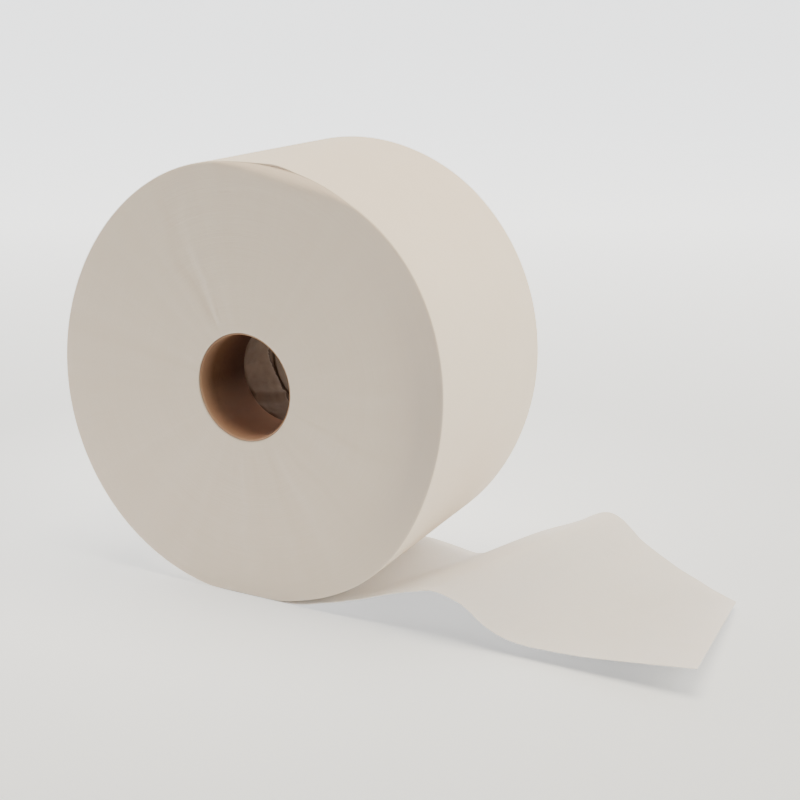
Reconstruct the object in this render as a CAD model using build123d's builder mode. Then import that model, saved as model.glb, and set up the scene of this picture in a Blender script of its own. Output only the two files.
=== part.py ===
from build123d import *
from math import cos, exp, pi, radians, sin
import os

# Toilet paper roll, millimetres. The roll lies on its curved side with the core's axis along Y and its
# front end at -Y. The origin is on the core's axis, half way across the width. The loose tail runs to +X.
# Angles round the roll start at +X and turn towards +Z.

os.makedirs("parts", exist_ok=True)

# Wound tissue
roll_width = 92.0
roll_diameter = 196.0
squash = 2.7  # the section is this much longer along one diagonal and shorter along the other
section_centre = (-1.1, 1.9)  # centre of the wound section, in X and Z from the core's axis
rest_flat_depth = 0.8  # how far the roll's own weight flattens its underside
rim_bevel = 0.8
outline_arcs = 20

# The outer turns have slumped: they lie low at the top and bulge at the lower right
slump_angle = 75.0
slump_depth = 2.5
bulge_angle = -50.0
bulge_height = 2.3
slump_spread = 19.0

# Turns that show on the ends, as a spiral line between softer and harder wound paper
shown_turns = 3
turn_line_width = 0.5
turn_line_depth = 0.25
turn_start_margin = 3.0
turn_end_margin = 9.0

# Gap under the edge of the loosened outer turn, at the top of the front end. The turns below it lean in
gap_angle = 76.0
gap_half_angle = 22.0
gap_height = 1.8
gap_depth = 9.0
lean_height = 5.0
lean_depth = 2.4
loose_turn_thickness = 0.5
gap_points = 6

# Core: one short cardboard tube at each end, with bare paper between them
core_outer_diameter = 47.6
core_wall = 0.8
core_length = 33.5
core_fit = 0.1  # clearance between a tube and the paper wound on it

# Soft folds of the bare paper between the tubes: each one's angle round the bore and its slant
folds = [(28.0, 10.0), (104.0, -6.0), (168.0, 9.0), (205.0, -12.0), (292.0, -8.0)]
fold_radius = 2.6
fold_setback = 0.1  # how far the folds stay behind the inner face of the tubes
fold_end_gap = 1.0

# Loose tail. A station of one of its edges is X, height over the floor and slope. The stations of the two
# edges are joined in pairs by straight lines over the web, so the tail's wave runs slantwise
web_thickness = 0.4
tail_leaves_floor = 19.0
near_edge = [
    (tail_leaves_floor, 0.0, 0.0),
    (32.0, 1.9, 0.23),
    (46.0, 5.8, 0.30),
    (54.0, 8.3, 0.33),
    (72.0, 14.6, 0.33),
    (84.0, 18.5, 0.24),
    (93.0, 20.2, 0.0),
    (104.0, 18.0, -0.36),
    (113.0, 12.4, -0.74),
    (124.0, 6.9, -0.28),
    (145.0, 5.4, 0.02),
    (206.5, 11.6, 0.11),
]
far_edge = [
    (tail_leaves_floor, 0.0, 0.0),
    (40.0, 5.2, 0.0),
    (64.0, 2.2, -0.16),
    (73.0, 3.4, 0.55),
    (100.0, 18.4, 0.48),
    (120.0, 27.6, 0.47),
    (133.5, 33.6, 0.0),
    (141.0, 30.5, -0.85),
    (150.0, 22.8, -0.70),
    (166.0, 13.9, -0.54),
    (180.0, 7.6, -0.45),
    (193.5, 2.8, -0.36),
]

# Worked out from the sizes above
floor_z = section_centre[1] - roll_diameter / 2 + rest_flat_depth
bore_radius = core_outer_diameter / 2 + core_fit
bare_length = roll_width - 2 * core_length
turn_start = bore_radius + turn_start_margin
turn_end = roll_diameter / 2 - squash - turn_end_margin
turn_pitch = (turn_end - turn_start) / (shown_turns + 0.5)
front_plane = Plane.XZ.offset(roll_width / 2)
rear_plane = Plane.XZ.offset(-roll_width / 2)


def bell(angle, middle):
    return exp(-(((angle - middle) / slump_spread) ** 2) / 2)


def section_point(angle, inset=0.0):
    # Angle is between -180 and 180
    slump = bulge_height * bell(angle, bulge_angle) - slump_depth * bell(angle, slump_angle)
    radius = roll_diameter / 2 + squash * sin(radians(2 * angle)) + slump - inset
    x = section_centre[0] + radius * cos(radians(angle))
    z = section_centre[1] + radius * sin(radians(angle))
    return (x, z)


def turn_line():
    # A spiral of half circles that take turns on two centres, each one half a pitch wider than the last
    with BuildSketch() as sketch:
        with BuildLine():
            for side in (0.0, turn_line_width):
                for half in range(2 * shown_turns):
                    centre = (turn_pitch / 2 * (half % 2), 0.0)
                    radius = turn_start + half * turn_pitch / 2 + side
                    CenterArc(centre, radius, 180.0 * (half % 2), 180.0)
            for start in (turn_start, turn_start + shown_turns * turn_pitch):
                Line((start, 0.0), (start + turn_line_width, 0.0))
        make_face()
    return sketch.sketch


def crescent(height):
    # Under the loose turn's edge: as high as given in its middle, and closing to a point at both ends
    inset = rim_bevel + loose_turn_thickness
    upper = []
    lower = []
    for count in range(gap_points + 1):
        share = 2.0 * count / gap_points - 1.0
        angle = gap_angle + gap_half_angle * share
        upper.append(section_point(angle, inset))
        lower.append(section_point(angle, inset + height * cos(pi / 2 * share)))
    with BuildSketch() as sketch:
        with BuildLine():
            Spline(upper)
            Spline(lower)
        make_face()
    return sketch.sketch


def web_section(plane, stations):
    # The web between two stations, seen along its width
    here, there = stations
    tangents = [(1.0, here[2]), (1.0, there[2])]
    with BuildLine() as outline:
        for lift in (floor_z, floor_z + web_thickness):
            Spline((here[0], lift + here[1]), (there[0], lift + there[1]), tangents=tangents)
        for end in stations:
            Line((end[0], floor_z + end[1]), (end[0], floor_z + end[1] + web_thickness))
    return plane * Face(outline.wire())


# Tissue: the wound turns and the loose tail are one web of paper
near_spans = [web_section(front_plane, ends) for ends in zip(near_edge, near_edge[1:])]
far_spans = [web_section(rear_plane, ends) for ends in zip(far_edge, far_edge[1:])]
with BuildPart() as tissue:
    with BuildSketch(Plane.XZ):
        with BuildLine():
            step = 180.0 / outline_arcs
            round_points = [section_point(step * count - 180.0) for count in range(2 * outline_arcs)]
            round_points.append(round_points[0])
            for count in range(0, 2 * outline_arcs, 2):
                ThreePointArc(*round_points[count : count + 3])
        make_face()
    extrude(amount=roll_width / 2, both=True)
    chamfer(tissue.edges().filter_by(GeomType.CIRCLE), rim_bevel)
    split(bisect_by=Plane.XY.offset(floor_z), keep=Keep.TOP)

    # Bore, then the folds of the bare paper in the middle of it
    with BuildSketch(Plane.XZ):
        Circle(bore_radius)
    extrude(amount=roll_width / 2, both=True, mode=Mode.SUBTRACT)
    fold_top = core_outer_diameter / 2 - core_wall + fold_setback
    for angle, slant in folds:
        outward = Vector(cos(radians(angle)), 0, sin(radians(angle)))
        along = Vector(0, 1, 0).rotate(Axis((0, 0, 0), outward), slant)
        with BuildSketch(Plane(outward * (fold_top + fold_radius), x_dir=outward, z_dir=along)):
            Circle(fold_radius)
        extrude(amount=bare_length / 2 - fold_end_gap, both=True)

    # Turns that show on both ends
    with BuildSketch(front_plane):
        add(turn_line())
    extrude(amount=-turn_line_depth, mode=Mode.SUBTRACT)
    with BuildSketch(rear_plane):
        add(turn_line())
    extrude(amount=turn_line_depth, mode=Mode.SUBTRACT)

    # Gap under the loosened outer turn, with the turns below it leaning in
    with BuildSketch(front_plane):
        add(crescent(lean_height))
    with BuildSketch(front_plane.offset(-lean_depth)):
        add(crescent(gap_height))
    loft(ruled=True, mode=Mode.SUBTRACT)
    with BuildSketch(front_plane.offset(-lean_depth)):
        add(crescent(gap_height))
    extrude(amount=lean_depth - gap_depth, mode=Mode.SUBTRACT)

    # Web passing out from under the roll, then the waved tail
    with BuildSketch(Plane.XZ):
        with Locations((tail_leaves_floor / 2, floor_z + web_thickness / 2)):
            Rectangle(tail_leaves_floor, web_thickness)
    extrude(amount=roll_width / 2, both=True)
    for near_span, far_span in zip(near_spans, far_spans):
        loft([near_span, far_span], ruled=True, clean=False)
tissue.part.label = "tissue"
export_step(tissue.part, "parts/tissue.step")

# Core tubes, each flush with its end of the roll
for name, plane, reach in (
    ("front_core_tube", front_plane, -core_length),
    ("rear_core_tube", rear_plane, core_length),
):
    with BuildPart() as core_tube:
        with BuildSketch(plane):
            Circle(core_outer_diameter / 2)
            Circle(core_outer_diameter / 2 - core_wall, mode=Mode.SUBTRACT)
        extrude(amount=reach)
    core_tube.part.label = name
    export_step(core_tube.part, "parts/" + name + ".step")
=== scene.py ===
from math import atan2, cos, exp, pi, radians, sin

import bmesh
import bpy
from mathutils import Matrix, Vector, noise


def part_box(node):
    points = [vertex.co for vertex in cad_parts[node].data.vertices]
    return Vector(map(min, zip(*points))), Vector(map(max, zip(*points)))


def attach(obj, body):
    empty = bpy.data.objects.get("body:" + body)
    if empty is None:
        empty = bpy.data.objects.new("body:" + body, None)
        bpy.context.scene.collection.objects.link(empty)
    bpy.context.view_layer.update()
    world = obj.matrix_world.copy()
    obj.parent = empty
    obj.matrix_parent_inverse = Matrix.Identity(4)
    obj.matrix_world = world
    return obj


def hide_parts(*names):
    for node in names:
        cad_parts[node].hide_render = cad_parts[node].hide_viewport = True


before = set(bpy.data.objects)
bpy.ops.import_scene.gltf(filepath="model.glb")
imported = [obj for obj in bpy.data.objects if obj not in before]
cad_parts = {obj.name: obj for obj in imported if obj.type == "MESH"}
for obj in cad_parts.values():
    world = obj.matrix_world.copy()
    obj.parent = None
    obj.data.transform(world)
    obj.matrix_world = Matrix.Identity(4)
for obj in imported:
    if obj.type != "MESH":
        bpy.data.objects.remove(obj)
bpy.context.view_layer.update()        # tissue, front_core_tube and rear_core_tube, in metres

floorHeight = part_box("tissue")[0].z
print("frame loaded, floor at", round(floorHeight, 4))

millimetre = 0.001

# The camera stands where the photograph was taken from
photoCamera = {
    "place": (0.3654, -0.5550, 0.1616),
    "azimuth": 29.5,
    "elevation": 15.0,
    "lens": 67.5,
}


def addCamera():
    bpy.ops.object.camera_add(location=photoCamera["place"])
    camera = bpy.context.object
    camera.name = "photoCamera"
    camera.rotation_euler = (radians(90 - photoCamera["elevation"]), 0, radians(photoCamera["azimuth"]))
    camera.data.lens = photoCamera["lens"]
    camera.data.sensor_width = 36
    camera.data.clip_start = 0.01
    bpy.context.scene.camera = camera


def selectNothing():
    if bpy.context.mode != "OBJECT":
        bpy.ops.object.mode_set(mode="OBJECT")
    bpy.ops.object.select_all(action="DESELECT")


def finishPiece(piece, name):
    selectNothing()
    piece.name = name
    piece.data.name = name
    piece.select_set(True)
    bpy.context.view_layer.objects.active = piece
    bpy.ops.object.transform_apply(location=True, rotation=True, scale=True)
    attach(piece, "root")
    print(name, len(piece.data.polygons), "faces")


# Node helpers
def addNode(tree, kind, **settings):
    made = tree.nodes.new(kind)
    for name, value in settings.items():
        setattr(made, name, value)
    return made


def feed(tree, socket, value):
    if isinstance(value, bpy.types.NodeSocket):
        tree.links.new(value, socket)
    else:
        socket.default_value = value


def calculate(tree, operation, *values):
    made = addNode(tree, "ShaderNodeMath", operation=operation)
    for socket, value in zip(made.inputs, values):
        feed(tree, socket, value)
    return made.outputs[0]


def scaled(tree, value, factor):
    return calculate(tree, "MULTIPLY", value, factor)


def sumOf(tree, total, *others):
    for value in others:
        total = calculate(tree, "ADD", total, value)
    return total


def distanceOf(tree, first, second):
    return calculate(tree, "SQRT", sumOf(tree, scaled(tree, first, first), scaled(tree, second, second)))


def vectorOf(tree, x, y, z):
    made = addNode(tree, "ShaderNodeCombineXYZ")
    for socket, value in zip(made.inputs, (x, y, z)):
        feed(tree, socket, value)
    return made.outputs[0]


def noiseOf(tree, vector, scale, detail=3.0, roughness=0.5):
    made = addNode(tree, "ShaderNodeTexNoise")
    feed(tree, made.inputs["Vector"], vector)
    made.inputs["Scale"].default_value = scale
    made.inputs["Detail"].default_value = detail
    made.inputs["Roughness"].default_value = roughness
    return made.outputs["Fac"]


def attributeOf(tree, name):
    return addNode(tree, "ShaderNodeAttribute", attribute_name=name).outputs["Fac"]


def objectPlace(tree):
    place = addNode(tree, "ShaderNodeTexCoord").outputs["Object"]
    parts = addNode(tree, "ShaderNodeSeparateXYZ")
    tree.links.new(place, parts.inputs[0])
    return place, *parts.outputs


def spreadOf(tree, value, low, high, newLow, newHigh):
    made = addNode(tree, "ShaderNodeMapRange")
    for socket, number in zip(made.inputs, (value, low, high, newLow, newHigh)):
        feed(tree, socket, number)
    return made.outputs["Result"]


def mixColours(tree, share, first, second):
    made = addNode(tree, "ShaderNodeMix", data_type="RGBA")
    feed(tree, made.inputs["Factor"], share)
    feed(tree, made.inputs["A"], first)
    feed(tree, made.inputs["B"], second)
    return made.outputs["Result"]


def bumpOf(tree, height, distance, strength=1.0, normal=None):
    made = addNode(tree, "ShaderNodeBump")
    feed(tree, made.inputs["Height"], height)
    made.inputs["Distance"].default_value = distance
    made.inputs["Strength"].default_value = strength
    if normal is not None:
        tree.links.new(normal, made.inputs["Normal"])
    return made.outputs["Normal"]


def newMaterial(name):
    material = bpy.data.materials.new(name)
    material.use_nodes = True
    return material, material.node_tree, material.node_tree.nodes["Principled BSDF"]


def roundCoreOf(tree):
    # Angle round the core, distance from its axis and place along it, all in metres or radians
    place, x, y, z = objectPlace(tree)
    return place, calculate(tree, "ARCTAN2", z, x), distanceOf(tree, x, z), y


tissueLook = {
    "white": (0.865, 0.767, 0.642, 1),
    "shade": (0.793, 0.687, 0.555, 1),
    "endWhite": (0.86, 0.748, 0.63, 1),
    "endShade": (0.789, 0.669, 0.542, 1),
    "bareWhite": (0.39, 0.285, 0.215, 1),  # the paper inside the core, darker and browner than outside: painted shade
    "bareShade": (0.26, 0.18, 0.13, 1),
    "bareShadow": (0.04, 0.024, 0.015, 1),  # painted shadow behind the loose edge of the bare paper, and painted shade on the core's upper wall near the front tube
    "paintedShade": (0.67, 0.58, 0.49, 1),  # painted shade on the outer turns at the right of the front end
    # the tail's paper, cooler than the roll's: painted light from the floor showing through it
    "tailWhite": (0.825, 0.772, 0.728, 1),
    "tailShade": (0.745, 0.688, 0.638, 1),
    "roughness": 0.95,
    "woundGlow": 0.15,  # light that soaks through the soft paper, little where it is wound
    "tailGlow": 0.5,
    "glowDepth": (0.0030, 0.0025, 0.0020),
    # scales of the patterns, one unit a metre or a radian, and how high their relief is in metres
    "crepeScale": (2400, 420),  # along the web and across it
    "fibreScale": 900,
    "cloudScale": 45,
    "wideCloudScale": 11,
    "cloudRelief": 0.0008,
    "crepeRelief": 0.00012,
    "fibreRelief": 0.00005,
    "ringScale": (1500, 1.3),  # outwards over an end and round it
    "bandScale": (170, 0.4),
    "spiralPitch": 0.00012,
    "fanScale": 7,
    "cutFibreScale": 1100,
    "endCloudScale": 16,
    "fanRelief": 0.0006,
    "ringRelief": 0.00025,
    "cutFibreRelief": 0.00006,
}


def dressTissue(shader, glow):
    shader.inputs["Roughness"].default_value = tissueLook["roughness"]
    shader.inputs["Specular IOR Level"].default_value = 0.15
    shader.inputs["Sheen Weight"].default_value = 0.1
    shader.inputs["Sheen Roughness"].default_value = 0.6
    shader.inputs["Subsurface Weight"].default_value = glow
    shader.inputs["Subsurface Radius"].default_value = tissueLook["glowDepth"]
    shader.inputs["Subsurface Scale"].default_value = 1.0


def tissueFaceMaterial(name, alongOf, look, glow):
    # Face of the web: fine creping across its run, over soft clouds. Its look is three colours: two tones of the
    # paper, and one of painted shade
    white, darker, paintedShadeColour = (tissueLook[part] for part in look)
    material, tree, shader = newMaterial(name)
    dressTissue(shader, glow)
    place, along, across, fade = alongOf(tree)
    crepeAlong, crepeAcross = tissueLook["crepeScale"]
    stretched = vectorOf(tree, scaled(tree, along, crepeAlong), scaled(tree, across, crepeAcross), 0)
    crepe = noiseOf(tree, stretched, 1.0, 2.0)
    fibres = noiseOf(tree, place, tissueLook["fibreScale"], 3.0, 0.6)
    cloud = noiseOf(tree, place, tissueLook["cloudScale"], 3.0)
    wide = noiseOf(tree, place, tissueLook["wideCloudScale"], 2.0)
    shade = sumOf(tree, scaled(tree, crepe, 0.35), scaled(tree, cloud, 0.4), scaled(tree, wide, 0.35))
    # the fourth value adds painted shade: on the tail, darker towards its end
    shade = sumOf(tree, spreadOf(tree, shade, 0.38, 0.72, 0.0, 0.45), fade)
    # painted shade where the piece's attribute asks for it; in the core it is painted shadow behind the loose edge
    # and painted shade on the upper wall
    colour = mixColours(tree, attributeOf(tree, "paintedShade"), mixColours(tree, shade, white, darker), paintedShadeColour)
    feed(tree, shader.inputs["Base Color"], colour)
    soft = bumpOf(tree, cloud, tissueLook["cloudRelief"], 0.35)
    fine = bumpOf(tree, crepe, tissueLook["crepeRelief"], 0.55, soft)
    feed(tree, shader.inputs["Normal"], bumpOf(tree, fibres, tissueLook["fibreRelief"], 0.4, fine))
    return material


def curvedSide(tree):
    place, angle, away, y = roundCoreOf(tree)
    return place, scaled(tree, angle, woundPaper["radius"]), y, 0.0


def bareBore(tree):
    place, angle, away, y = roundCoreOf(tree)
    return place, scaled(tree, angle, coreTube["inner"]), y, 0.0


def flatWeb(tree):
    # The tail's own UV map is its flat size in metres. Painted shade darkens it towards its end
    uv = addNode(tree, "ShaderNodeUVMap", uv_map="UVMap").outputs[0]
    parts = addNode(tree, "ShaderNodeSeparateXYZ")
    tree.links.new(uv, parts.inputs[0])
    along, across = parts.outputs[:2]
    return objectPlace(tree)[0], along, across, spreadOf(tree, along, 0.06, 0.15, 0.0, 0.5)


def woundEndMaterial():
    # End of the roll: edges of the turns as fine rings, with faint marks of the cut fanning out from the core
    material, tree, shader = newMaterial("woundEndPaper")
    dressTissue(shader, tissueLook["woundGlow"])
    place, angle, away, y = roundCoreOf(tree)
    spiral = sumOf(tree, away, scaled(tree, angle, tissueLook["spiralPitch"]))
    ringOut, ringRound = tissueLook["ringScale"]
    bandOut, bandRound = tissueLook["bandScale"]
    ringPlaces = vectorOf(tree, scaled(tree, spiral, ringOut), scaled(tree, angle, ringRound), 0)
    bandPlaces = vectorOf(tree, scaled(tree, spiral, bandOut), scaled(tree, angle, bandRound), 0)
    turning = vectorOf(tree, calculate(tree, "COSINE", angle), calculate(tree, "SINE", angle), 0)
    rings = noiseOf(tree, ringPlaces, 1.0, 3.0, 0.6)
    bands = noiseOf(tree, bandPlaces, 1.0, 2.0)
    fan = noiseOf(tree, turning, tissueLook["fanScale"], 3.0, 0.55)
    fibres = noiseOf(tree, place, tissueLook["cutFibreScale"], 3.0, 0.6)
    cloud = noiseOf(tree, place, tissueLook["endCloudScale"], 2.0)
    shade = sumOf(tree, scaled(tree, rings, 0.35), scaled(tree, fan, 0.45), scaled(tree, cloud, 0.35))
    # the creases also paint the end: painted highlight on raised creases, painted shade in sunken ones
    shade = calculate(tree, "SUBTRACT", shade, scaled(tree, attributeOf(tree, "crease"), 0.75))
    shade = spreadOf(tree, shade, 0.38, 0.78, 0.2, 0.9)
    colour = mixColours(tree, shade, tissueLook["endWhite"], tissueLook["endShade"])
    # painted shade on the outer turns at the right of the front end
    feed(tree, shader.inputs["Base Color"], mixColours(tree, attributeOf(tree, "paintedShade"), colour, tissueLook["paintedShade"]))
    soft = bumpOf(tree, sumOf(tree, fan, scaled(tree, bands, 0.6)), tissueLook["fanRelief"], 0.3)
    fine = bumpOf(tree, rings, tissueLook["ringRelief"], 0.5, soft)
    feed(tree, shader.inputs["Normal"], bumpOf(tree, fibres, tissueLook["cutFibreRelief"], 0.4, fine))
    return material


boardLook = {
    "board": (0.15, 0.070, 0.033, 1),
    "pale": (0.27, 0.154, 0.084, 1),
    "wornAndLit": (0.50, 0.315, 0.205, 1),  # paler near the lip: wear, and painted light where light falls in at the mouth
    "bottomLight": (0.66, 0.40, 0.275, 1),  # painted light along the bottom of the tubes, which faces the light coming in
    "farEndLight": (0.30, 0.235, 0.185, 1),  # painted light on the rear tube near its inner end, as from the far opening
    "dark": (0.060, 0.018, 0.008, 1),
    "seamPitch": 0.064,  # the seam climbs this far in one turn round the tube
    "seamWidth": 0.012,  # as a share of the pitch
    "fibreScale": (260, 300),  # along the strip that the tube is wound from, and across it
    "fleckScale": 520,
    "fibreRelief": 0.00012,
    "seamRelief": 0.0001,
    "bottomLightAngle": -95,  # where the painted light along the bottom is strongest, and where the painted shade on the upper wall is deepest
    "darkAngle": 135,
}


def coreBoardMaterial():
    material, tree, shader = newMaterial("coreBoard")
    place, angle, away, y = roundCoreOf(tree)
    fromMiddle = calculate(tree, "ABSOLUTE", y)
    climb = sumOf(
        tree,
        calculate(tree, "DIVIDE", angle, 2 * pi),
        calculate(tree, "DIVIDE", y, boardLook["seamPitch"]),
    )
    seam = calculate(tree, "LESS_THAN", calculate(tree, "FRACT", climb), boardLook["seamWidth"])
    fibreAlong, fibreAcross = boardLook["fibreScale"]
    slanted = calculate(tree, "SUBTRACT", y, scaled(tree, angle, 0.004))
    strip = vectorOf(tree, scaled(tree, climb, fibreAlong), scaled(tree, slanted, fibreAcross), 0)
    fibres = noiseOf(tree, strip, 3.0, 4.0, 0.65)
    flecks = noiseOf(tree, place, boardLook["fleckScale"], 3.0, 0.7)

    def towards(degrees, start, most):
        # Rises from nothing to the most that is given, round the angle that is given
        turned = calculate(tree, "COSINE", calculate(tree, "SUBTRACT", angle, radians(degrees)))
        return spreadOf(tree, turned, start, 1.0, 0.0, most)

    frontOnly = spreadOf(tree, y, -0.01, 0.01, 1.0, 0.0)
    rearOnly = spreadOf(tree, y, 0.0, 0.012, 0.0, 0.85)
    # painted shade: the front tube darkens deeper inside
    paintedDepthShade = scaled(tree, spreadOf(tree, fromMiddle, 0.020, 0.040, 0.75, 0.0), frontOnly)
    # paler near the lip: wear, and painted light falling in at the mouth
    wornAndLit = spreadOf(tree, fromMiddle, 0.036, 0.0455, 0.0, 0.8)
    # painted light along the bottom of the tubes
    litBottom = calculate(tree, "POWER", towards(boardLook["bottomLightAngle"], 0.1, 1.0), 1.6)
    litBottom = scaled(tree, litBottom, spreadOf(tree, fromMiddle, 0.034, 0.045, 1.0, 0.5))
    # painted light on the rear tube near its inner end
    farEndLight = scaled(tree, rearOnly, spreadOf(tree, y, 0.020, 0.036, 1.0, 0.0))
    colour = boardLook["board"]
    for share, name in (
        (spreadOf(tree, fibres, 0.3, 0.7, 0.0, 0.6), "pale"),
        (spreadOf(tree, flecks, 0.58, 0.72, 0.0, 0.55), "dark"),
        (scaled(tree, seam, 0.15), "dark"),
        (paintedDepthShade, "dark"),
        (wornAndLit, "wornAndLit"),
        (litBottom, "bottomLight"),
        # painted shade on the upper wall of the tubes
        (towards(boardLook["darkAngle"], 0.5, 0.4), "dark"),
        (farEndLight, "farEndLight"),
    ):
        colour = mixColours(tree, share, colour, boardLook[name])
    feed(tree, shader.inputs["Base Color"], colour)
    shader.inputs["Roughness"].default_value = 0.82
    shader.inputs["Specular IOR Level"].default_value = 0.1
    fine = bumpOf(tree, fibres, boardLook["fibreRelief"], 0.5)
    beside = calculate(tree, "SUBTRACT", 1.0, seam)
    feed(tree, shader.inputs["Normal"], bumpOf(tree, beside, boardLook["seamRelief"], 0.4, fine))
    return material


# Turned shapes are swept ring by ring round the core's axis, and each ring is then set by its own rule
def sweepRings(name, sides, rings, ringPlace):
    selectNothing()
    firstRadius, firstDepth = rings[0][:2]
    bpy.ops.mesh.primitive_circle_add(
        vertices=sides, radius=firstRadius, location=(0, firstDepth, 0), rotation=(pi / 2, 0, 0)
    )
    piece = bpy.context.object
    piece.name = name
    bpy.ops.object.transform_apply(location=True, rotation=True, scale=True)
    bpy.ops.object.mode_set(mode="EDIT")
    bmesh.from_edit_mesh(piece.data).verts.layers.int.new("ring")
    for count, ring in enumerate(rings[1:], 1):
        bpy.ops.mesh.extrude_region_move()
        mesh = bmesh.from_edit_mesh(piece.data)
        number = mesh.verts.layers.int["ring"]
        for vert in mesh.verts:
            if vert.select:
                angle = atan2(vert.co.z, vert.co.x)
                vert.co = (ring[0] * cos(angle), ring[1], ring[0] * sin(angle))
                vert[number] = count
    bpy.ops.mesh.select_mode(type="EDGE")
    bpy.ops.mesh.select_all(action="DESELECT")
    mesh = bmesh.from_edit_mesh(piece.data)
    for edge in mesh.edges:
        edge.select_set(edge.is_boundary)
    bpy.ops.mesh.bridge_edge_loops()
    bpy.ops.mesh.select_mode(type="VERT")
    mesh = bmesh.from_edit_mesh(piece.data)
    number = mesh.verts.layers.int["ring"]
    for vert in mesh.verts:
        angle = atan2(vert.co.z, vert.co.x)
        vert.co = ringPlace(rings[vert[number]], angle)
    bmesh.update_edit_mesh(piece.data)
    bpy.ops.mesh.select_all(action="SELECT")
    bpy.ops.mesh.normals_make_consistent(inside=False)
    bpy.ops.object.mode_set(mode="OBJECT")
    return piece


# Wound tissue. Angles start at +X and turn towards +Z
woundPaper = {
    "sides": 288,
    "halfWidth": 0.046,
    "radius": 0.098,
    "bore": 0.0239,
    "tubeReach": 0.0335,
    "squash": 0.0027,
    "centre": (-0.0011, 0.0019),
    "slumpAngle": 75,
    "slumpDepth": 0.0050,  # at the front end, fading to nothing at the rear
    "bulgeAngle": -50,
    "bulgeHeight": 0.0046,
    "slumpSpread": 19,
    "gapAngle": 76,
    "gapHalfAngle": 22,
    "liftAngle": 79.5,  # where the loose outer turn stands highest over the gap
    "liftSpread": 4.6,
    "liftHeight": 0.0010,
    "rimRound": 0.0016,
    "sideRings": 15,
    "sideStart": 0.042,  # the curved side's first ring behind the middle, and the step from ring to ring
    "sideStep": 0.0055,
    "faceRings": 44,
    "faceStart": 0.0085,  # each end's first ring lies this far inside the rim
    "boreRings": 36,
    "paintedShadeAngle": -8,  # the painted shade on the outer turns of the front end is deepest here
    "paintedShadeSpread": 34,
    "dish": 0.0004,  # the middle of each end lies this far behind its rim
    # creases that fan out over the front end: angle, half width in degrees, height in millimetres
    "creases": [
        (112, 2.0, 0.40), (119, 3.0, -0.34), (103, 2.4, 0.10), (137, 5.0, 0.08), (-91, 2.4, 0.26),
        (-80, 4.0, -0.10), (-57, 2.8, 0.24), (-67, 2.2, -0.16), (-44, 2.4, -0.16), (-26, 3.4, 0.08),
        (-17, 2.0, -0.14), (4, 2.6, 0.08),
        (45, 6.0, 0.06), (172, 6.0, -0.06), (-135, 7.0, 0.06),
    ],
}

# Front rim, from the outside in, in millimetres: inset and depth where the turns lie close, the same where they
# lean in under a loose turn, then what share of the loose turn's lift each place takes, and how much deeper it
# goes in the gap. The rows from the given one on are cut edges of the paper
firstCutRow = 8
looseRim = [
    (0.00, 6.00, 0.00, 7.5, 1.0, 0.0), (0.00, 3.60, 0.00, 6.0, 1.0, 0.0), (0.00, 1.10, 0.00, 5.2, 1.0, 0.0),
    (0.03, 0.70, 0.02, 4.9, 1.0, 0.0), (0.10, 0.48, 0.07, 4.72, 1.0, 0.0), (0.19, 0.34, 0.14, 4.66, 1.0, 0.0),
    (0.24, 0.29, 0.19, 4.66, 1.0, 0.0), (0.26, 0.27, 0.21, 4.66, 1.0, 0.1), (0.28, 0.26, 0.23, 4.66, 1.0, 0.3),
    (0.30, 0.25, 0.25, 4.64, 0.6, 0.35), (0.32, 0.24, 0.29, 4.60, 0.25, 0.3), (0.34, 0.23, 0.34, 4.50, 0.0, 0.1),
    (0.38, 0.21, 0.62, 3.90, 0.0, 0.0), (0.50, 0.14, 1.15, 3.0, 0.0, 0.0), (0.68, 0.07, 1.90, 2.0, 0.0, 0.0),
    (0.95, 0.02, 2.80, 1.1, 0.0, 0.0), (1.50, 0.00, 3.90, 0.4, 0.0, 0.0), (3.40, 0.00, 5.80, 0.0, 0.0, 0.0),
]


def bell(angle, middle, spread):
    return exp(-(((angle - middle) / spread) ** 2) / 2)


def slumpOf(angle, depth):
    # How far the outer turns stand off a round section. Angle in degrees, depth from the front end
    fade = 1 - depth / (2 * woundPaper["halfWidth"])
    bulge = woundPaper["bulgeHeight"] * bell(angle, woundPaper["bulgeAngle"], woundPaper["slumpSpread"])
    slump = woundPaper["slumpDepth"] * bell(angle, woundPaper["slumpAngle"], woundPaper["slumpSpread"])
    return woundPaper["squash"] * sin(radians(2 * angle)) + fade * (bulge - slump)


def looseAt(angle):
    share = (angle - woundPaper["gapAngle"]) / woundPaper["gapHalfAngle"]
    return cos(pi / 2 * share) ** 1.4 if abs(share) < 1 else 0.0


def creaseAt(angle, share, depth):
    if depth > 0 or share <= 0:
        return 0.0
    height = 0.0
    for middle, halfWidth, crease in woundPaper["creases"]:
        away = (angle * 180 / pi - middle - 5 * noise.noise(Vector((share * 3, middle, 0))) + 180) % 360 - 180
        height += crease * exp(-((away / halfWidth) ** 2))
    return height * min(1.0, share * 6) * min(1.0, max(0.0, (1.05 - share) * 1.6))


def faceRelief(angle, radius, share, depth):
    # How far a place on an end lies behind its rim: a slight dish, soft rings and creases that fan out
    inward = max(0.0, min(1.0, (1 - share) / 0.5))
    flare = noise.noise(Vector((radius * 240, cos(angle) * 0.7, sin(angle) * 0.7)))
    ray = noise.noise(Vector((cos(angle) * 5.2, sin(angle) * 5.2, radius * 14 + (9 if depth > 0 else 0))))
    relief = 0.00014 * flare + 0.00022 * ray - creaseAt(angle, share, depth) * millimetre
    fade = min(1, (1 - share) * 6) * min(1, share * 12)
    return woundPaper["dish"] * inward ** 2 * (3 - 2 * inward) + relief * fade


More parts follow.
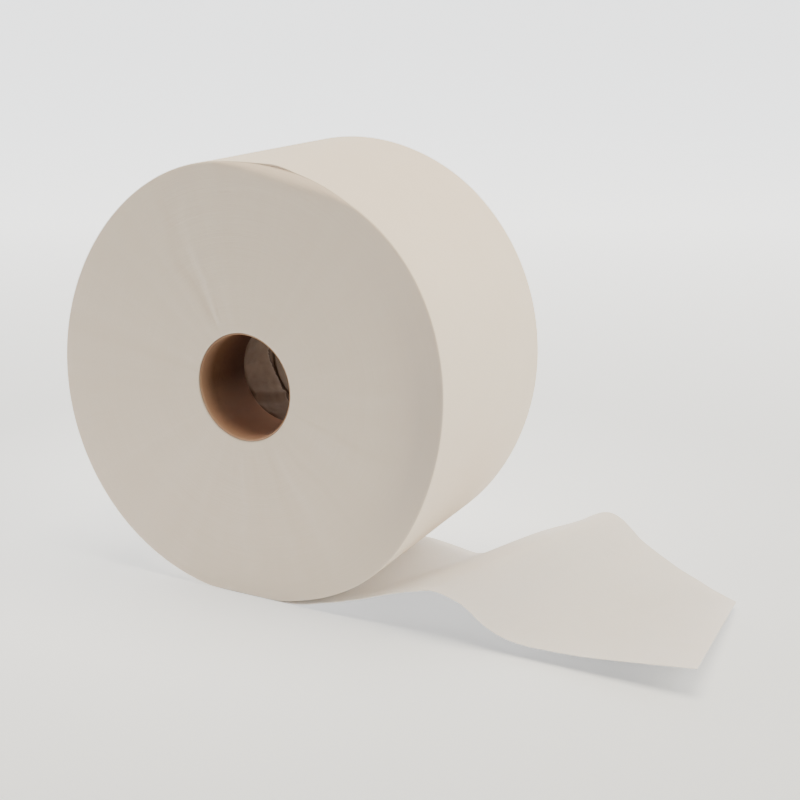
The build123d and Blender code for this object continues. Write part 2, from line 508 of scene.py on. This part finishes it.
def woundPlace(ring, angle):
    # Turns near the core stay round, and the outer ones take the whole of the slump
    radius, depth, role, closed = ring
    degrees = angle * 180 / pi
    liftShare = 1.0 if role == "side" else 0.0
    liftHere = exp(-(((degrees - woundPaper["liftAngle"]) / woundPaper["liftSpread"]) ** 2))
    if role == "rim":
        loose = looseAt(degrees)
        inset, back, openInset, openBack, liftShare, hollow = closed
        radius = woundPaper["radius"] - (inset + (openInset - inset) * loose) * millimetre
        depth = -woundPaper["halfWidth"] + (back + (openBack - back) * loose + hollow * liftHere) * millimetre
    share = max(0.0, (radius - woundPaper["bore"]) / (woundPaper["radius"] - woundPaper["bore"]))
    fromFront = depth + woundPaper["halfWidth"]
    reach = radius + slumpOf(degrees, fromFront) * share ** 1.5
    reach += woundPaper["liftHeight"] * liftHere * exp(-((fromFront / 0.014) ** 2)) * liftShare
    if role == "side":
        reach += 0.00025 * noise.noise(Vector((cos(angle) * 3.1, depth * 22, sin(angle) * 3.1)))
    if role == "face":
        depth += faceRelief(angle, radius, share, depth) * (1 if depth < 0 else -1)
    if role == "bore":
        reach = boreFolds(angle, depth, reach)
    x = woundPaper["centre"][0] * share + reach * cos(angle)
    z = woundPaper["centre"][1] * share + reach * sin(angle)
    return Vector((x, depth, max(z, floorHeight + 0.0003)))


# Bare paper between the tubes: soft slanting folds, and a loose edge that curls in before the rear tube. A fold is
# its angle at the middle, the degrees it turns in a millimetre, its height in millimetres and half width
barePaper = {
    "clear": 0.0007,  # how far the paper stands inside the seat of the tubes
    "curl": 0.0004,
    "edge": 0.0065,  # where the loose edge ends, from the middle of the roll
    "edgeMore": 0.0049,  # and how much further it reaches at one angle
    "edgeAngle": 208,
    "edgeSpread": 18.5,
    "shadowReach": 0.0028,  # how far the painted shadow behind the loose edge runs
    "folds": [
        (221, 0.65, 0.95, 4.5), (233, 0.7, -0.55, 5.0), (205, -0.5, 0.25, 6.0), (186, 0.8, -0.2, 5.0),
        (252, 0.3, 0.4, 7.0), (150, -0.9, 0.5, 8.0), (20, -0.6, 0.8, 7.0), (75, 0.5, 0.7, 8.0),
        (310, 0.4, 0.7, 7.0),
    ],
}


def looseEdge(angle):
    # How far back the bare paper reaches, from the middle of the roll
    more = bell(angle * 180 / pi % 360, barePaper["edgeAngle"], barePaper["edgeSpread"])
    teeth = noise.noise(Vector((cos(angle) * 7, sin(angle) * 7, 7)))
    teeth += noise.noise(Vector((cos(angle) * 24, sin(angle) * 24, 3)))
    return barePaper["edge"] + barePaper["edgeMore"] * more + 0.0006 * teeth


def boreFolds(angle, depth, reach):
    half = woundPaper["halfWidth"] - woundPaper["tubeReach"]
    if abs(depth) > half:
        return reach
    degrees = angle * 180 / pi
    folds = 0.0
    for middle, turn, height, halfWidth in barePaper["folds"]:
        away = (degrees - middle - turn * depth / millimetre + 180) % 360 - 180
        folds += height * millimetre * exp(-((away / halfWidth) ** 2))
    edge = looseEdge(angle)
    curl = barePaper["curl"] * exp(-(((depth - edge) / 0.0055) ** 2))
    pucker = 0.00022 * noise.noise(Vector((cos(angle) * 9, sin(angle) * 9, depth * 260)))
    frontFade = min(1.0, (depth + half) / 0.0012)
    rearFade = min(1.0, max(0.0, (edge - depth) / 0.0006))
    return reach - max(0.0, barePaper["clear"] + folds + curl + pucker) * frontFade * rearFade


def woundRings():
    # Each ring is its radius, its place along the core, what it is part of, and its row of the rim
    half, radius, bore = woundPaper["halfWidth"], woundPaper["radius"], woundPaper["bore"]
    bare = half - woundPaper["tubeReach"]
    faceStart = radius - woundPaper["faceStart"]
    faceStep = (faceStart - bore) / woundPaper["faceRings"]
    faceRadii = [faceStart - faceStep * count for count in range(woundPaper["faceRings"])]
    rings = []
    for count in range(woundPaper["sideRings"]):  # curved side, from rear to front
        rings.append((radius, woundPaper["sideStart"] - woundPaper["sideStep"] * count, "side", None))
    for row in looseRim:
        rings.append((radius - row[2] * millimetre, -half + row[3] * millimetre, "rim", row))
    for faceRadius in faceRadii:  # front end, from rim to core
        rings.append((faceRadius, -half, "face", None))
    rings.append((bore + 0.0004, -half, "face", None))
    rings.append((bore + 0.0001, -half + 0.0001, "face", None))
    rings.append((bore, -half + woundPaper["dish"] + 0.0005, "bore", None))
    for count in range(1, 4):  # seat of the front tube
        rings.append((bore, -half + 0.009 * count, "bore", None))
    rings.append((bore, -bare - 0.0004, "bore", None))
    for count in range(woundPaper["boreRings"] + 1):
        rings.append((bore, -bare + 2 * bare * count / woundPaper["boreRings"], "bore", None))
    for count in range(3):  # seat of the rear tube
        rings.append((bore, bare + 0.0004 + 0.011 * count, "bore", None))
    rings.append((bore, half - woundPaper["dish"] - 0.0005, "bore", None))
    rings.append((bore + 0.0001, half - 0.0001, "face", None))
    rings.append((bore + 0.0004, half, "face", None))
    for faceRadius in reversed(faceRadii):
        rings.append((faceRadius, half, "face", None))
    rings.append((radius - 0.004, half, "face", None))
    soft = woundPaper["rimRound"]
    for count in range(6):  # rear rim
        turn = radians(90 - 18 * count)
        rings.append((radius - soft * (1 - cos(turn)), half - soft * (1 - sin(turn)), "side", None))
    return rings


def makeWoundPaper():
    rings = woundRings()
    piece = sweepRings("woundPaper", woundPaper["sides"], rings, woundPlace)
    crease = piece.data.attributes.new("crease", "FLOAT", "POINT")
    paintedShade = piece.data.attributes.new("paintedShade", "FLOAT", "POINT")
    number = piece.data.attributes["ring"].data
    firstCutRing = woundPaper["sideRings"] + firstCutRow
    bore, depthOfWinding = woundPaper["bore"], woundPaper["radius"] - woundPaper["bore"]
    for vert in piece.data.vertices:
        angle = atan2(vert.co.z, vert.co.x)
        degrees = angle * 180 / pi
        ring = number[vert.index].value
        role = rings[ring][2]
        share = (Vector((vert.co.x, vert.co.z)).length - bore) / depthOfWinding
        if role == "face":
            # crease heights, also read as painted highlight on raised creases and painted shade in sunken ones
            crease.data[vert.index].value = creaseAt(angle, share, vert.co.y)
        # painted shade on the outer turns at the right of the front end
        if role != "bore" and ring >= firstCutRing and vert.co.y < 0:
            outer = max(0.0, min(1.0, (share - 0.5) / 0.35)) ** 2
            near = exp(-(((degrees - woundPaper["paintedShadeAngle"]) / woundPaper["paintedShadeSpread"]) ** 2))
            paintedShade.data[vert.index].value = outer * near
        if role == "bore":
            # painted shadow behind the loose edge of the bare paper, and painted shade on the upper wall near the
            # front tube
            past = vert.co.y - looseEdge(angle)
            behind = max(0.0, min(1.0, past / 0.0004 + 0.5)) * exp(-((past / barePaper["shadowReach"]) ** 2))
            shadow = 0.4 * bell(degrees, 150, 22) * bell(vert.co.y, -0.009, 0.007)
            paintedShade.data[vert.index].value = max(0.8 * behind, shadow)
    glow = tissueLook["woundGlow"]
    for material in (
        tissueFaceMaterial("tissueSide", curvedSide, ("white", "shade", "paintedShade"), glow),
        woundEndMaterial(),
        tissueFaceMaterial("tissueBore", bareBore, ("bareWhite", "bareShade", "bareShadow"), glow),
    ):
        piece.data.materials.append(material)
    for face in piece.data.polygons:
        roles = [rings[number[vert].value][2] for vert in face.vertices]
        late = max(number[vert].value for vert in face.vertices)
        atEnd = "face" in roles or (rings[late][2] == "rim" and late >= firstCutRing)
        face.material_index = 1 if atEnd else 2 if "bore" in roles else 0
        face.use_smooth = True
    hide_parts("tissue")
    finishPiece(piece, "woundPaper")
    return piece


# Loose tail. A station of one edge is X and height over the floor in millimetres, and slope
looseTail = {
    "width": 0.092,
    "thickness": 0.00032,
    "rowsInSpan": 10,
    "columns": 40,
    "startX": -14.0,
    "ruffleHeight": 0.0003,
    "clearance": 0.0001,  # between the floor and the paper that lies on it
    "nearEdge": [
        (19.0, 0.0, 0.0), (32.0, 1.9, 0.23), (46.0, 5.8, 0.30), (54.0, 8.3, 0.33), (72.0, 14.6, 0.33),
        (84.0, 18.5, 0.24), (93.0, 20.2, 0.0), (104.0, 18.0, -0.36), (113.0, 12.4, -0.74),
        (124.0, 6.9, -0.28), (145.0, 5.4, 0.02), (206.5, 11.6, 0.11),
    ],
    "farEdge": [
        (19.0, 0.0, 0.0), (40.0, 5.2, 0.0), (64.0, 2.2, -0.16), (73.0, 3.4, 0.55), (100.0, 18.4, 0.48),
        (120.0, 27.6, 0.47), (133.5, 33.6, 0.0), (141.0, 30.5, -0.85), (150.0, 22.8, -0.70),
        (166.0, 13.9, -0.54), (180.0, 7.6, -0.45), (193.5, 2.8, -0.36),
    ],
}


def edgePoint(stations, run):
    # Point of an edge, where each whole number of run is a station
    if run < 0:
        start = looseTail["startX"]
        return Vector((stations[0][0] + run * (stations[0][0] - start), 0))
    span = min(int(run), len(stations) - 2)
    share = run - span
    here, there = stations[span], stations[span + 1]
    chord = (Vector(there[:2]) - Vector(here[:2])).length
    leave = Vector((1, here[2])).normalized() * chord
    arrive = Vector((1, there[2])).normalized() * chord
    return (
        Vector(here[:2]) * (2 * share ** 3 - 3 * share ** 2 + 1)
        + leave * (share ** 3 - 2 * share ** 2 + share)
        + Vector(there[:2]) * (3 * share ** 2 - 2 * share ** 3)
        + arrive * (share ** 3 - share ** 2)
    )


def makeLooseTail():
    selectNothing()
    spans = len(looseTail["nearEdge"]) - 1
    rows = looseTail["rowsInSpan"] * (spans + 1)
    bpy.ops.mesh.primitive_grid_add(
        x_subdivisions=rows, y_subdivisions=looseTail["columns"], size=2, calc_uvs=True
    )
    piece = bpy.context.object
    flatPlaces = {}
    for vert in piece.data.vertices:
        run = (vert.co.x + 1) / 2 * (spans + 1) - 1
        share = (vert.co.y + 1) / 2
        near = edgePoint(looseTail["nearEdge"], run)
        far = edgePoint(looseTail["farEdge"], run)
        across = near.lerp(far, share) * millimetre
        free = max(0.0, min(1.0, run / 2))
        ruffle = noise.noise(Vector((run * 1.1, share * 1.2, 4)))
        ruffle += 0.5 * noise.noise(Vector((run * 2.6, share * 2.5, 9)))
        height = looseTail["clearance"] + across.y + looseTail["ruffleHeight"] * ruffle * free
        flatPlaces[vert.index] = (across.x, share * looseTail["width"])
        vert.co = Vector((across.x, (share - 0.5) * looseTail["width"], floorHeight + height))
    uvMap = piece.data.uv_layers.active
    uvMap.name = "UVMap"
    for loop in piece.data.loops:
        uvMap.data[loop.index].uv = flatPlaces[loop.vertex_index]
    selectNothing()
    piece.select_set(True)
    bpy.context.view_layer.objects.active = piece
    wall = piece.modifiers.new("thickness", "SOLIDIFY")
    wall.thickness = looseTail["thickness"]
    wall.offset = 1
    bpy.ops.object.modifier_apply(modifier="thickness")
    bpy.ops.object.shade_smooth_by_angle(angle=radians(40))
    look = ("tailWhite", "tailShade", "paintedShade")
    piece.data.materials.append(tissueFaceMaterial("tissueTail", flatWeb, look, tissueLook["tailGlow"]))
    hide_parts("tissue")
    finishPiece(piece, "looseTail")
    return piece


# Core tubes, one flush with each end of the roll
coreTube = {
    "sides": 160,
    "outer": 0.0238,
    "inner": 0.0230,
    "reach": 0.0335,
    "recess": 0.0008,  # the lip has worn back a little behind the end of the roll
    "lengthRings": 12,
    "wander": 0.00012,  # unevenness of the cut edges
    # each row is a share of the wall from outside to inside or back, how far back in walls, at lip and inner cut
    "lip": [(0.0, 0.6), (0.04, 0.25), (0.18, 0.06), (0.36, 0.0), (0.6, 0.14), (0.82, 0.5), (0.95, 1.1), (1.0, 2.0)],
    "cut": [(1.0, 0.12), (0.9, 0.0), (0.1, 0.0), (0.0, 0.12)],
}


def tubePlace(ring, angle):
    radius, depth, lip = ring
    wander = coreTube["wander"] * noise.noise(Vector((cos(angle) * 4, sin(angle) * 4, depth * 60)))
    return Vector((radius * cos(angle), depth + wander * lip, radius * sin(angle)))


def makeCoreTube(name, node, start, inward, material):
    inner, outer, reach, recess = (coreTube[size] for size in ("inner", "outer", "reach", "recess"))
    wall = outer - inner
    steps = coreTube["lengthRings"]
    rings = [(outer - wall * share, start + inward * (recess + wall * back), 1.0) for share, back in coreTube["lip"]]
    rings += [(inner, start + inward * (0.004 + (reach - 0.005) * part / steps), 0.0) for part in range(steps + 1)]
    rings += [(outer - wall * share, start + inward * (reach - wall * back), 1.0) for share, back in coreTube["cut"]]
    piece = sweepRings(name, coreTube["sides"], rings, tubePlace)
    for face in piece.data.polygons:
        face.use_smooth = True
    piece.data.materials.append(material)
    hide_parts(node)
    finishPiece(piece, name)
    return piece


# Pale floor that curves up all round, and soft light from above and from the right
studio = {
    "floorColour": (0.80, 0.86, 0.93, 1),
    "glowColour": (1, 0.985, 0.96, 1),
    "floorCells": 20,
    "footGlow": (0.78, 0.45),  # round the roll's foot, on its left and on its right, fading away from it
    "backGlow": 1.55,
    "farGlow": 0.12,  # all round, from a metre away and up the wall
    "worldLight": 0.02,
    "reach": 4.0,
    "bend": 1.4,
    "wall": 4.0,
    "frontReach": 1.5,  # how much further off the front of the wall stands
    "frontWall": 0.4,  # and how high, as a share of the back
    "key": {"place": (1.0, 0.2, 1.8), "size": 1.2, "power": 20.5, "colour": (1.0, 0.87, 0.68)},
    "top": {"place": (0.0, 0.1, 2.0), "size": 1.4, "power": 48, "colour": (1.0, 0.87, 0.68)},
    "right": {"place": (1.3, 0.15, 0.62), "size": 0.9, "power": 12.4, "colour": (1.0, 0.87, 0.68)},
    "left": {"place": (-0.45, -0.42, 0.0), "size": 0.3, "power": 0.63, "colour": (1.0, 0.89, 0.76)},
}


def addFloor():
    # A round tray: its wall is high behind the roll, and low and further off on the viewer's side
    selectNothing()
    cells = studio["floorCells"]
    bpy.ops.mesh.primitive_grid_add(x_subdivisions=cells, y_subdivisions=cells, size=2, location=(0, 0, floorHeight))
    floor = bpy.context.object
    floor.name = "floor"
    bend = studio["bend"]
    for vert in floor.data.vertices:
        share = max(abs(vert.co.x), abs(vert.co.y))
        heading = Vector((vert.co.x, vert.co.y, 0)).normalized()
        turn = pi / 2 * max(0.0, min(1.0, (share - 0.5) / 0.35))
        away = (studio["reach"] - bend) * min(1.0, share / 0.5) + bend * sin(turn)
        height = bend * (1 - cos(turn)) + (studio["wall"] - bend) * max(0.0, share - 0.85) / 0.15
        behind = max(0.0, min(1.0, heading.y * 2 + 0.6))
        vert.co = heading * away
        vert.co.y *= 1 + studio["frontReach"] * max(0.0, -heading.y)
        vert.co.z = height * (studio["frontWall"] + (1 - studio["frontWall"]) * behind)
    for face in floor.data.polygons:
        face.use_smooth = True
    floor.rotation_euler = (0, 0, radians(photoCamera["azimuth"]))
    material, tree, shader = newMaterial("paleFloor")
    shader.inputs["Base Color"].default_value = studio["floorColour"]
    shader.inputs["Roughness"].default_value = 0.9
    shader.inputs["Emission Color"].default_value = studio["glowColour"]
    place, x, y, z = objectPlace(tree)
    away = distanceOf(tree, x, y)
    leftToRight = spreadOf(tree, x, -0.12, 0.04, *studio["footGlow"])
    foot = scaled(tree, leftToRight, spreadOf(tree, away, 0.08, 0.32, 1.0, 0.0))
    back = spreadOf(tree, y, 0.0, 1.1, 0.0, studio["backGlow"])
    far = spreadOf(tree, away, 1.0, 2.5, 0.0, studio["farGlow"])
    feed(tree, shader.inputs["Emission Strength"], calculate(tree, "MAXIMUM", sumOf(tree, foot, back), far))
    floor.data.materials.append(material)


def addLight(name, place, size, power, colour):
    bpy.ops.object.light_add(type="AREA", location=place)
    light = bpy.context.object
    light.name = name
    light.data.size = size
    light.data.energy = power
    light.data.color = colour
    light.rotation_euler = (-Vector(place)).to_track_quat("-Z", "Y").to_euler()


def addStudio():
    addFloor()
    for name in ("key", "top", "right", "left"):
        addLight(name + "Light", **studio[name])
    world = bpy.data.worlds.new("softRoom")
    world.use_nodes = True
    background = world.node_tree.nodes["Background"]
    background.inputs["Color"].default_value = (1, 1, 1, 1)
    background.inputs["Strength"].default_value = studio["worldLight"]
    bpy.context.scene.world = world


addCamera()
addStudio()
print("camera and studio ready")

makeWoundPaper()
tail = makeLooseTail()
print("paper ready")

board = coreBoardMaterial()
makeCoreTube("frontCoreTube", "front_core_tube", -woundPaper["halfWidth"], 1, board)
makeCoreTube("rearCoreTube", "rear_core_tube", woundPaper["halfWidth"], -1, board)
print("core ready")
